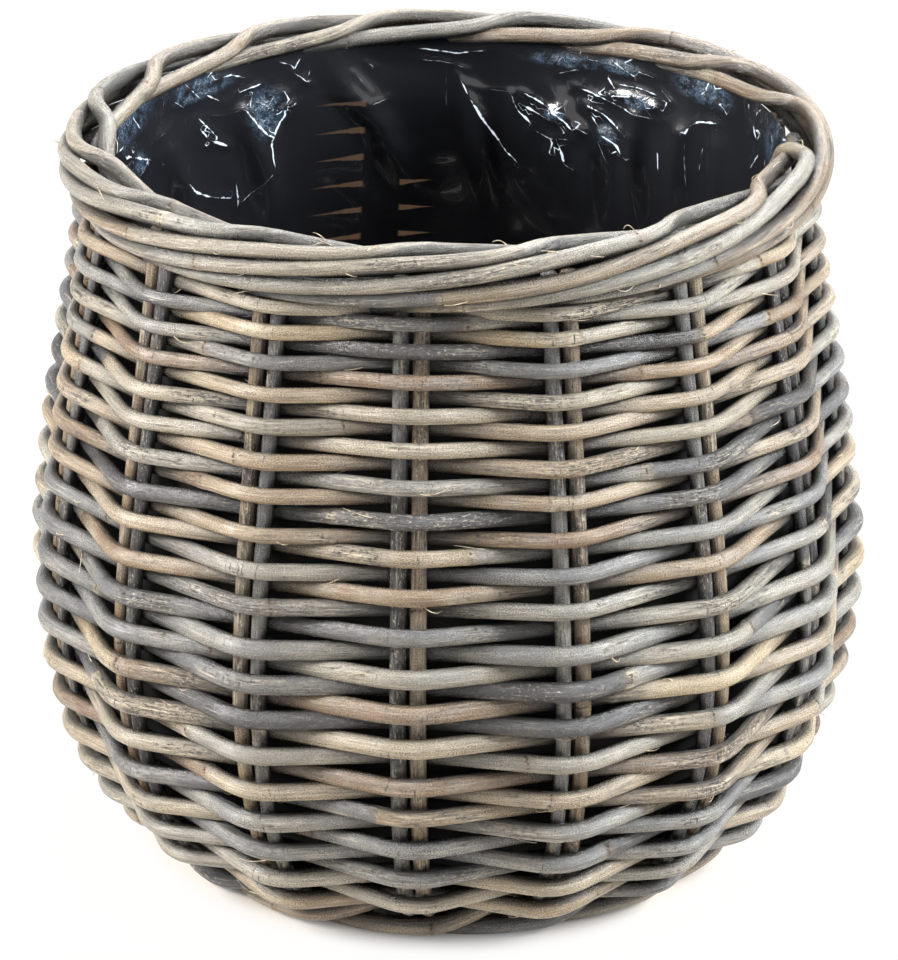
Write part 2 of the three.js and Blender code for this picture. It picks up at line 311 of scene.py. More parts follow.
def bezier(points, share):
    a, b, c, d = [np.array(point, float) for point in points]
    t = share[:, None]
    spot = (1 - t) ** 3 * a + 3 * (1 - t) ** 2 * t * b + 3 * (1 - t) * t * t * c + t ** 3 * d
    slope = (1 - t) ** 2 * (b - a) + 2 * (1 - t) * t * (c - b) + t * t * (d - c)
    return spot, slope


belly = (wall["bellyRadius"], wall["bellyHeight"])
curveBelow = [
    (wall["baseRadius"], 0),
    (wall["baseRadius"] + wall["baseFullness"], 0),
    (belly[0], belly[1] - wall["fullBelow"]),
    belly,
]
curveAbove = [
    belly,
    (belly[0], belly[1] + wall["fullAbove"]),
    (wall["neckRadius"] + wall["neckLean"], wall["height"] - wall["neckStraight"]),
    (wall["neckRadius"], wall["height"]),
]
cornersBelow = bezier(curveBelow, np.linspace(0, 1, wall["spansBelow"] + 1))[0]
cornersAbove = bezier(curveAbove, np.linspace(0, 1, wall["spansAbove"] + 1))[0]
corners = np.vstack([[[0, 0]], cornersBelow, cornersAbove[1:]])
cornerLengths = lengthsAlong(corners)
wallLength = cornerLengths[-1]
bellyLength = cornerLengths[1 + wall["spansBelow"]]


def outlineAt(length):  # radius, height and lean of the wall at a length from the axis
    length = np.asarray(length, float)
    step = np.interp(length, cornerLengths[1:], np.arange(len(cornerLengths) - 1))
    low, lowSlope = bezier(curveBelow, np.clip(step / wall["spansBelow"], 0, 1))
    high, highSlope = bezier(curveAbove, np.clip((step - wall["spansBelow"]) / wall["spansAbove"], 0, 1))
    upper = (step > wall["spansBelow"])[:, None]
    spot = np.where(upper, high, low)
    slope = np.where(upper, highSlope, lowSlope)
    lean = np.arctan2(slope[:, 1], slope[:, 0])
    past = np.maximum(length - wallLength, 0)
    before = np.minimum(length - cornerLengths[1], 0)
    radius = spot[:, 0] + past * np.cos(lean) + before
    return radius, spot[:, 1] + past * np.sin(lean), lean


def place(angle, length, offset, sideways=0.0):
    radius, height, lean = outlineAt(length)
    reach = radius + offset * np.sin(lean)
    rise = height - offset * np.cos(lean) + wall["floorLift"]
    x = reach * np.sin(angle) + sideways * np.cos(angle)
    y = -reach * np.cos(angle) + sideways * np.sin(angle)
    outward = [np.sin(lean) * np.sin(angle), -np.sin(lean) * np.cos(angle), -np.cos(lean)]
    return np.stack([x, y, rise], 1), np.stack(outward, 1)


def pairAt(number):
    return math.radians(wall["firstPair"]) + number * pairAngle


def wander(x, seed):  # smooth random values from -1 to 1 along a rod
    table = np.random.default_rng(seed).uniform(-1, 1, 257)
    cell = np.floor(x).astype(int)
    share = smooth(x - cell)
    return table[cell % len(table)] * (1 - share) + table[(cell + 1) % len(table)] * share


def through(x, xs, ys):  # a smooth curve through a few points
    xs, ys = np.array(xs, float), np.array(ys, float)
    slopes = np.gradient(ys, xs)
    i = np.clip(np.searchsorted(xs, x) - 1, 0, len(xs) - 2)
    span = xs[i + 1] - xs[i]
    t = np.clip((x - xs[i]) / span, 0, 1)
    start = (1 + 2 * t) * (1 - t) ** 2 * ys[i] + t * (1 - t) ** 2 * span * slopes[i]
    end = smooth(t) * ys[i + 1] - t * t * (1 - t) * span * slopes[i + 1]
    return start + end


# meshes start as a flat grid, which is rolled up and welded along its seam
def gridMesh(name, columns, rows, width=1.0):
    work = bmesh.new()
    bmesh.ops.create_grid(work, x_segments=columns, y_segments=rows, size=width / 2)
    mesh = bpy.data.meshes.new(name)
    work.to_mesh(mesh)
    work.free()
    flat = np.empty(len(mesh.vertices) * 3)
    mesh.vertices.foreach_get("co", flat)
    column, row = np.rint((flat.reshape(-1, 3)[:, :2] / width + 0.5) * (columns, rows)).astype(int).T
    return mesh, column, row


def setFields(mesh, fields):
    for key, value in fields.items():
        mesh.attributes.new(key, "FLOAT", "POINT").data.foreach_set("value", value.astype(np.float32))


def closeMesh(mesh, weldWithin, holesBelow=math.inf):  # faces outward, and no hole left below a height
    work = bmesh.new()
    work.from_mesh(mesh)
    bmesh.ops.remove_doubles(work, verts=work.verts, dist=weldWithin)
    holes = [edge for edge in work.edges if edge.is_boundary and edge.verts[0].co.z < holesBelow]
    bmesh.ops.holes_fill(work, edges=holes, sides=0)
    bmesh.ops.recalc_face_normals(work, faces=work.faces)
    work.to_mesh(mesh)
    work.free()
    mesh.polygons.foreach_set("use_smooth", np.ones(len(mesh.polygons), bool))


# rods: canes grown round a path, closed and a little rounded at both ends
rodGrowth = {
    "nodeGap": (140, 330),    # distance between the cane's nodes
    "nodeBefore": 20,         # least distance from the first node to the rod's start
    "nodeBulge": 0.24,
    "nodeLength": 2.4,
    "oddLean": 1.35,          # odd tones are dark more often than pale
    "crust": (1.6, 55),       # height and length of the waves of crust
    "swells": [(0.035, 70), (0.02, 17)],    # share of the radius, and length
    "dents": [(2, 0.02, 3, 90), (3, 0.012, 4, 40)],    # lobes, share, twist, and length of the twist
    "endRound": [0.0, 0.25, 0.7, 1.4],
    "endShare": [0.55, 0.83, 0.96, 1.0],
    "weldWithin": 1e-7,
    "highest": cadBox[1][2] * 1000,
}
usualLook = {
    "odd": 0.12,     # share of the lengths with a tone of their own
    # painted shadow, 0 to 1; a rod that goes behind others sets its own
    "clean": 0.75,
    "hidden": 0.0,
    "bend": 0.0,
    "endLength": 1.0,
    "depthShare": 1.0,
    "fibres": 0,     # for a millimetre of cane
}
looseFibres = []    # places where fibres have peeled off, found as the rods grow


def growRod(name, nodes, path, outward, diameter, look, material):
    look = {**usualLook, **look}
    seed = look["seed"]
    rng = np.random.default_rng(seed)
    travelled = lengthsAlong(path)
    total = travelled[-1]
    ends = [end * look["endLength"] for end in rodGrowth["endRound"]]
    inner = np.arange(ends[-1] + look["spacing"], total - ends[-1] - look["spacing"] / 2, look["spacing"])
    s = np.concatenate([ends, inner, total - np.array(ends[::-1])])

    def follow(values):  # one value, or one for each point of the path, brought to the rings
        return np.interp(s, travelled, np.broadcast_to(values, len(travelled)))

    centre = np.stack([follow(values) for values in path.T], 1)
    away = np.stack([follow(values) for values in outward.T], 1)
    tangent = np.gradient(centre, s, axis=0)
    tangent /= np.linalg.norm(tangent, axis=1)[:, None]
    across = np.cross(tangent, away)
    across /= np.linalg.norm(across, axis=1)[:, None]
    normal = np.cross(across, tangent)

    # where the cane's nodes are, and the tone of each length between them
    marks = [-rng.uniform(rodGrowth["nodeBefore"], rodGrowth["nodeGap"][1])]
    while marks[-1] < total:
        marks.append(marks[-1] + rng.uniform(*rodGrowth["nodeGap"]))
    marks = np.array(marks)
    segment = np.clip(np.searchsorted(marks, s) - 1, 0, len(marks) - 2)
    tones = look["tone"] + look["toneSpread"] * rng.normal(0, 1, len(marks))
    odd = rng.random(len(marks)) < look["odd"]
    tones[odd] = rng.uniform(0.02, 1.0, odd.sum()) ** rodGrowth["oddLean"]
    tone = np.clip(tones[segment], 0.0, 1.0)
    toMark = s[:, None] - marks[None, :]
    nearest = toMark[np.arange(len(s)), np.abs(toMark).argmin(1)]
    bulge = rodGrowth["nodeBulge"] * np.exp(-(nearest / rodGrowth["nodeLength"]) ** 2)
    high, long = rodGrowth["crust"]
    crust = np.clip(wander(s / long, seed + 5) * high - look["clean"], 0, 1)

    size = follow(diameter)
    uneven = 1
    for number, (part, long) in enumerate(rodGrowth["swells"]):
        uneven = uneven + part * wander(s / long, seed + 1 + number)
    radius = size / 2 * uneven + bulge
    share = np.ones(len(s))
    share[:len(ends)] = rodGrowth["endShare"]
    share[-len(ends):] = rodGrowth["endShare"][::-1]
    sides = look["sides"]
    turn = math.pi - 2 * math.pi * np.arange(sides + 1) / sides
    dent = 1
    for number, (lobes, part, twist, long) in enumerate(rodGrowth["dents"]):
        twisted = twist * wander(s / long, seed + 3 + number)
        dent = dent + part * np.cos(turn[None, :] * lobes + twisted[:, None])
    rim = (radius * share)[:, None] * dent
    deep = look["depthShare"] * np.cos(turn)[None, :, None] * normal[:, None, :]
    points = centre[:, None, :] + rim[:, :, None] * (deep + np.sin(turn)[None, :, None] * across[:, None, :])
    points[:, :, 2] = np.clip(points[:, :, 2], 0, rodGrowth["highest"])

    for _ in range(int(total * look["fibres"])):    # where fibres have peeled off the cane
        at, side = rng.integers(8, len(s) - 8), rng.integers(sides // 4, 3 * sides // 4)
        root = points[at, side]
        looseFibres.append((root, root - centre[at], tangent[at], rng.uniform(size=6)))

    mesh, i, j = gridMesh(name, len(s) - 1, sides)
    mesh.vertices.foreach_set("co", (points[i, j] * 0.001).ravel())
    setFields(mesh, {
        "tone": tone[i], "ring": nearest[i], "crust": crust[i], "hidden": follow(look["hidden"])[i],
        "bend": follow(look["bend"])[i],
        "edge": (1 - np.cos(turn[j])) / 2,     # 0 on the outward side, 1 on the inward side; the material paints shade where it is high
    })
    corner = np.empty(len(mesh.loops), np.int32)
    mesh.loops.foreach_get("vertex_index", corner)
    ring, turned = i[corner], j[corner] / sides
    # in metres along and around, and each rod has its own part of the pattern
    rodMap = np.stack([s[ring] * 0.001 + seed % 97 * 0.37, turned * size[ring] * 0.00314], 1)
    mesh.uv_layers.new(name="rodMap").data.foreach_set("uv", rodMap.ravel())
    closeMesh(mesh, rodGrowth["weldWithin"])
    mesh.materials.append(material)
    piece = addObject(name, mesh)
    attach(piece, "root")
    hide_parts(*nodes)


# Weave: two weavers chase each other, over one pair of stakes and behind the next
weave = {
    "footDiameter": 8.2,
    "bellyDiameter": 8.9,
    "neckDiameter": 6.1,
    "rowClearance": 0.35,
    "firstPairs": (wall["pairs"] // 2, wall["pairs"] + 1),
    "depthShare": 0.9,    # a cane pressed against the stakes is a little flat
    "bendLength": 5.0,    # how far a bend is spread along the cane
    "crossMargin": 1.5,   # a cane runs straight this far past each side of a pair
    "wobblePairs": (3.1, 1.7),    # length in pairs of the wobble up and down, and in and out
    "offsetWobble": 0.4,
    "overReach": 0.5,
    "frontLift": 8.0,     # the rows stand higher at the front, beaten down less
    "frontTurn": -7.0,
    "frontSpread": 30.0,
    # waves of the rows: height, number round the wall, length for a radian, start
    "rowWaves": [(0.8, 2, 55, 0), (0.5, 5, -38, 1)],
}
foot = {
    "diameter": 8.5,
    "spread": 1.15,
    "pointsPerPair": 26,
    "stops": [0, 15, 30, 48],    # pairs where one rod ends and the next goes on
    "tones": [0.5, 0.36, 0.62],
}
baseWeave = {"diameter": 6.4, "shown": 6.2}
footPitch = foot["diameter"] * foot["spread"]
footLength = wall["baseRadius"] + foot["diameter"] + footPitch / 2
footRadius = np.interp(footLength, cornerLengths, corners[:, 0])
footBetween = 2 * footRadius * math.sin(pairAngle / 2)


def wallDiameter(length):
    diameters = [weave["footDiameter"], weave["bellyDiameter"], weave["neckDiameter"]]
    return np.interp(length, [footLength, bellyLength, wallLength], diameters)


def risingRow(start, end, diameterAt):
    lengths = [start]
    while lengths[-1] < end:
        pitch = float(diameterAt(lengths[-1])) + weave["rowClearance"]
        lengths.append(lengths[-1] + pitch * 2 / wall["pairs"])
    steps = 2 * ((len(lengths) - 2) // 2)
    return np.array(lengths[:steps + 1]), np.array(lengths[1:steps + 2])


def relaxed(stations, values, bendLength):  # a dense path through stations, straight with soft bends
    travelled = lengthsAlong(stations)
    dense = np.linspace(0, travelled[-1], int(travelled[-1]) + 1)
    path = np.stack([np.interp(dense, travelled, stations[:, axis]) for axis in range(3)], 1)
    reach = int(3 * bendLength)
    kernel = np.exp(-0.5 * (np.arange(-reach, reach + 1) / bendLength) ** 2)
    kernel /= kernel.sum()
    soft = [np.convolve(np.pad(line, reach, mode="reflect", reflect_type="odd"), kernel, mode="valid")
            for line in path.T]
    return np.stack(soft, 1), [np.interp(dense, travelled, value) for value in values]


def addWeaver(name, nodes, lengths, firstPair, diameterAt, look):
    count = len(lengths)
    step = np.arange(count)
    order = np.sort(np.concatenate([step, step[1::2]]))
    side = np.zeros(len(order))
    pairOfOver = np.flatnonzero(order % 2 == 1)
    half = stakes["spacing"] / 2 + weave["crossMargin"]
    side[pairOfOver[0::2]] = -half
    side[pairOfOver[1::2]] = half
    length = lengths[order]
    diameter = diameterAt(length)
    angle = pairAt(firstPair + order)
    upPairs, outPairs = weave["wobblePairs"]
    shift = rowDrift(angle, length) + look["wobble"] * wander(order / upPairs, look["seed"] + 1)
    depth = stakes["shown"] * stakes["depthShare"] / 2 + rodClearance + diameter * weave["depthShare"] / 2
    offset = np.where(order % 2 == 1, depth + weave["overReach"], -depth - look["behindReach"])
    offset = offset + weave["offsetWobble"] * wander(order / outPairs, look["seed"] + 2)
    stations, outward = place(angle, length + shift, offset, side)
    fields = [order.astype(float), offset / depth, diameter, *outward.T]
    path, fields = relaxed(stations, fields, weave["bendLength"])
    stops = [*range(0, count - 1, look["rodPairs"]), count - 1]
    for number, (first, last) in enumerate(zip(stops[:-1], stops[1:])):
        inside = (fields[0] >= first) & (fields[0] <= last)
        seed = look["seed"] + 13 * number
        passed = fields[0][inside]
        rodLook = dict(look, seed=seed, tone=look["toneList"][number])
        # painted shadow, darkest where the weaver goes behind a pair of stakes
        rodLook["hidden"] = np.clip((0.4 - fields[1][inside]) / 0.95, 0, 1)
        rodLook["bend"] = np.clip(1 - 4 * np.abs(passed % 2 - 1), 0, 1)
        girth = look["thickness"] * np.random.default_rng(seed + 6).uniform(*look["girth"])
        pieceName, node = name, nodes
        if len(stops) > 2:
            pieceName, node = f"{name}{number + 1}", f"{nodes}_{number + 1}"
        growRod(pieceName, [node], path[inside], np.stack(fields[3:], 1)[inside],
                fields[2][inside] * girth, rodLook, caneMaterial)


def rowDrift(angle, length):  # the upper rows rise and fall a little together, as hand-beaten rows do
    turn = (angle - math.radians(weave["frontTurn"]) + math.pi) % (2 * math.pi) - math.pi
    lift = weave["frontLift"] * np.exp(-(np.degrees(turn) / weave["frontSpread"]) ** 2)
    for high, waves, long, start in weave["rowWaves"]:
        lift = lift + high * np.sin(angle * waves + length / long + start)
    return lift * np.clip((length - 150) / 45, 0, 1) * np.clip(0.45 + (wallLength - length) / 50, 0, 1)


def addWeave(name, node, rows, diameterAt, look):  # both weavers
    for number, letter in enumerate("ab"):
        ownLook = dict(look, seed=look["seeds"][number], toneList=look["toneLists"][number])
        addWeaver(f"{name}{letter.upper()}", f"{node}_{letter}", rows[number],
                  weave["firstPairs"][number], diameterAt, ownLook)


wallLook = {
    "seeds": (100, 300),
    "toneSpread": 0.21,
    "odd": 0.27,
    "spacing": 2.6,
    "sides": 12,
    "clean": 0.62,
    "toneLists": [
        [0.58, 0.4, 0.72, 0.32, 0.5, 0.04, 0.6, 0.74, 0.4, 0.62],
        [0.34, 0.64, 0.44, 0.78, 0.38, 0.66, 0.1, 0.54, 0.74, 0.44],
    ],
    "wobble": 1.1,
    "fibres": 0.006,
    "girth": (0.93, 1.06),
    "depthShare": weave["depthShare"],
    "behindReach": -2.0,
    "rodPairs": 30,       # a weaver's length ends after this many pairs
    "thickness": 1.04,
}
runSag = footBetween ** 2 / (8 * footRadius)
firstRow = footLength + (footPitch + foot["diameter"] + weave["footDiameter"]) / 2
firstRow = firstRow + weave["rowClearance"] + runSag
rows = risingRow(firstRow, wallLength - weave["neckDiameter"], wallDiameter)
addWeave("weaver", "weaver", rows, wallDiameter, wallLook)
print("wall weave grown")


def baseDiameter(length):
    return np.full(np.shape(length), baseWeave["diameter"])


baseLook = {
    "seeds": (500, 540),
    "toneSpread": 0.12,
    "spacing": 4.5,
    "sides": 8,
    "toneLists": [[0.6], [0.4]],
    "wobble": 0.3,
    "girth": (1.0, 1.0),
    "behindReach": 0.0,
    "rodPairs": 100,
    "thickness": baseWeave["shown"] / baseWeave["diameter"],
}
lastBaseRow = footLength - (footPitch + foot["diameter"] + baseWeave["diameter"]) / 2 - weave["rowClearance"]
rows = risingRow(stakes["weaveStart"], lastBaseRow, baseDiameter)
addWeave("baseWeaver", "base_weaver", rows, baseDiameter, baseLook)
print("base weave grown")


# foot: three rods, each over two pairs and behind one, flat where they stand
footPairs = foot["stops"][-1]
footStep = np.linspace(0, footPairs, footPairs * foot["pointsPerPair"] + 1)
phase = footStep % 3
footDepth = stakes["diameter"] / 2 + rodClearance + foot["diameter"] / 2
footOffset = footDepth * (2 * smooth(phase) - 1 - 2 * smooth(phase - 2))
footRise = footPitch * (smooth(phase - 1) - 0.5)
footRise = np.where(phase < 0.5, footPitch * (0.5 - smooth(phase + 0.5)), footRise)
footRise = np.where(phase > 2.5, footPitch * (0.5 - smooth(phase - 2.5)), footRise)
footPath, footOut = place(pairAt(0) + footStep * pairAngle, footLength + footRise, footOffset)
for number, tone in enumerate(foot["tones"]):
    inside = (footStep >= foot["stops"][number]) & (footStep <= foot["stops"][number + 1])
    footLook = {
        "seed": 600 + 17 * number,
        "tone": tone,
        "toneSpread": 0.15,
        "spacing": 2.8,
        "sides": 12,
        # painted shadow where the foot rod goes behind the stakes
        "hidden": np.clip(-footOffset[inside] / footDepth, 0, 1),
    }
    growRod(f"footRod{number + 1}", [f"foot_rod_{number + 1}"],
            footPath[inside], footOut[inside], foot["diameter"], footLook, caneMaterial)
print("foot grown")


# stakes: up one side, across the base and up the other
stakePitch = stakes["diameter"] + 0.35
perArm = wall["pairs"] // 2
armHalfWidth = (perArm - 1) / 2 * stakePitch
crossHalf = armHalfWidth + stakes["diameter"]
fanMitre = math.tan(pairAngle * (perArm / 2 - 1) / 4)


def halfStake(arm, row, lift):
    sideways = (row - (perArm - 1) / 2) * stakePitch
    bendAt = crossHalf + (armHalfWidth - abs(sideways)) * fanMitre
    armTurn = pairAt((perArm / 2 - 1) / 2 + arm * perArm / 2)
    forward = np.array([math.sin(armTurn), -math.cos(armTurn), 0])
    across = np.array([math.cos(armTurn), math.sin(armTurn), 0])
    bend = forward * bendAt + across * sideways + np.array([0, 0, lift + wall["floorLift"]])
    angle = pairAt(arm * perArm // 2 + row // 2)
    side = stakes["spacing"] / 2 * (-1 if row % 2 == 0 else 1)
    length = np.concatenate([
        [stakes["weaveStart"] - 7, stakes["weaveStart"] + 8],
        np.linspace(wall["baseRadius"], wallLength + stakes["reach"], 60)])
    stand = stakes["outward"] * np.clip((length - wall["baseRadius"]) / 40, 0, 1)
    points, outward = place(np.full(len(length), angle), length, stand, side)
    return np.vstack([[bend], points]), np.vstack([[[0, 0, -1]], outward])


def cornerCut(points, times):  # rounds a path by cutting its corners
    for _ in range(times):
        near = points[:-1] * 0.75 + points[1:] * 0.25
        far = points[:-1] * 0.25 + points[1:] * 0.75
        middle = np.stack([near, far], 1).reshape(-1, 3)
        points = np.vstack([points[:1], middle, points[-1:]])
    return points


for stake in range(2 * perArm):
    arm = stake // perArm
    row = stake % perArm
    lift = stakePitch / 2 * (-1 if arm == 0 else 1)
    near, nearOut = halfStake(arm, row, lift)
    far, farOut = halfStake(arm + 2, perArm - 1 - row, lift)
    path = cornerCut(np.vstack([far[::-1], near]), 2)
    outward = cornerCut(np.vstack([farOut[::-1], nearOut]), 2)
    stakeLook = {
        "seed": 700 + 11 * stake,
        "tone": 0.2 if stake % 2 == 0 else 0.74,
        "toneSpread": 0.08,
        "spacing": 4.0,
        "sides": 10,
        "clean": 0.3,
        "depthShare": stakes["depthShare"],
    }
    growRod(f"stake{stake + 1:02d}", [f"stake_{stake + 1:02d}"],
            path, outward, stakes["shown"], stakeLook, stakeMaterial)
print("stakes grown")


# border: a rope of sixteen rods, long outside, turned over the top and short inside
border = {
    "radius": 166.0,
    "height": 339.8,
    "diameter": 7.6,
    # degrees past the rod's own pair, then out from and up from the middle of the rope
    "lay": [
        (-5, -4.0, -18.5), (-1, -0.5, -14.6), (5, 3.4, -12.2), (12, 5.8, -11.0), (33.5, 9.6, -5.2),
        (52, 9.8, 1.4), (60, 8.8, 4.6), (68, 7.2, 7.2), (75, 6.0, 8.6), (80, 4.6, 9.2), (84, 1.2, 9.4),
        (87, -3.6, 9.0), (90, -7.4, 8.0), (94, -9.2, 6.8), (99, -9.6, 5.8), (103, -9.2, 4.9),
        (107, -8.2, 4.0), (111, -7.0, 2.9), (115, -5.9, 1.9), (119, -4.9, 0.9), (122.5, -4.0, 0.0),
    ],
    "samples": 320,
    "wobble": [(0.9, 21), (0.8, 24)],    # out and up: size, and length in degrees
    "turnedBy": 1.2,
    "thickerBy": 0.6,
    "tones": [0.36, 0.46, 0.55, 0.6, 0.7],
    "hangingPair": 0,     # this pair's rod was cut short, and its end points down into the basket
    "hangingFrom": 79,
    "hanging": [
        (83, 1.4, 8.6), (86, -4.0, 7.6), (88.5, -8.4, 5.2), (91, -10.8, 0.6), (92.6, -12.0, -6.0),
        (93.8, -12.8, -13.0), (94.8, -13.4, -21.0),
    ],
}
for pair in range(wall["pairs"]):
    rng = np.random.default_rng(900 + pair)
    layAt = np.array(border["lay"], float)
    if pair == border["hangingPair"]:
        layAt = np.vstack([layAt[layAt[:, 0] < border["hangingFrom"]], border["hanging"]])
    past = np.linspace(layAt[0, 0], layAt[-1, 0], border["samples"])
    (outBy, outLong), (upBy, upLong) = border["wobble"]
    out = through(past, layAt[:, 0], layAt[:, 1]) + outBy * wander(past / outLong, 910 + pair)
    up = through(past, layAt[:, 0], layAt[:, 2]) + upBy * wander(past / upLong, 930 + pair)
    turned = rng.uniform(-border["turnedBy"], border["turnedBy"])
    angle = pairAt(pair) + np.radians(past) + math.radians(turned)
    reach = border["radius"] + out
    path = np.stack([reach * np.sin(angle), -reach * np.cos(angle), border["height"] + up], 1)
    size = np.hypot(out, up)
    outward = np.stack([out / size * np.sin(angle), -out / size * np.cos(angle), up / size], 1)
    borderLook = {
        "seed": 950 + 19 * pair,
        "tone": rng.choice(border["tones"]),
        "toneSpread": 0.1,
        "spacing": 2.2,
        "sides": 14,
        # painted shadow at both ends of the rod, where they go in among the other canes
        "hidden": np.clip((past - 108) / 14, 0, 0.8) + np.clip((2 - past) / 6, 0, 1),
        "endLength": 2.4,
        "fibres": 0.012,
    }
    thickness = border["diameter"] + rng.uniform(-border["thickerBy"], border["thickerBy"])
    growRod(f"borderRod{pair + 1:02d}", [f"border_rod_{pair + 1:02d}"],
            path, outward, thickness, borderLook, borderMaterial)
print("border grown")


# Loose fibres: thin strands that have peeled off the canes, up to about 15 mm long
fibreLook = {
    "thickness": 0.00026,
    "length": (5, 15),
    "lift": 2.2,
    "rootDepth": 0.15,
    "points": 7,
    "widest": 198.5,
}
fibreMaterial, fibreSheet = newMaterial("loose fibre")
straw = fibreSheet.noise(fibreSheet.place(), 300, 2)
strawColour = straw.between(0.35, 0.65).mix(colourOf(214, 202, 176), colourOf(140, 122, 98))
finishMaterial(fibreSheet, {"Base Color": strawColour, "Roughness": 0.5})
fibreCurve = bpy.data.curves.new("looseFibres", "CURVE")
fibreCurve.dimensions = "3D"
fibreCurve.bevel_depth = fibreLook["thickness"]
fibreCurve.bevel_resolution = 0
fibreCurve.use_fill_caps = True
shortest, longest = fibreLook["length"]
for root, outward, forward, chance in looseFibres:
    outward = outward / np.linalg.norm(outward)
    aside = np.cross(outward, forward)
    long = shortest + (longest - shortest) * chance[0] ** 2
    t = np.linspace(0, 1, fibreLook["points"])[:, None]
    run = long * (t * forward * (1 if chance[1] < 0.5 else -1) + (chance[2] - 0.5) * 0.9 * t ** 1.6 * aside)
    rise = fibreLook["lift"] * (0.3 + chance[3]) * np.sin(t * (1.6 + 1.6 * chance[4]))
    strand = root - fibreLook["rootDepth"] * outward + run + rise * outward
    if np.hypot(strand[:, 0], strand[:, 1]).max() > fibreLook["widest"]:
        continue
    strand[:, 2] = np.clip(strand[:, 2], 1, rodGrowth["highest"] - 0.5)
    spline = fibreCurve.splines.new("POLY")
    spline.points.add(len(strand) - 1)
    spline.points.foreach_set("co", np.hstack([strand * 0.001, np.ones((len(strand), 1))]).ravel())
    spline.points.foreach_set("radius", 1 - 0.6 * t.ravel())
fibreCurve.materials.append(fibreMaterial)
fibrePiece = addObject("looseFibres", fibreCurve)
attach(fibrePiece, "root")
print("loose fibres added:", len(fibreCurve.splines))


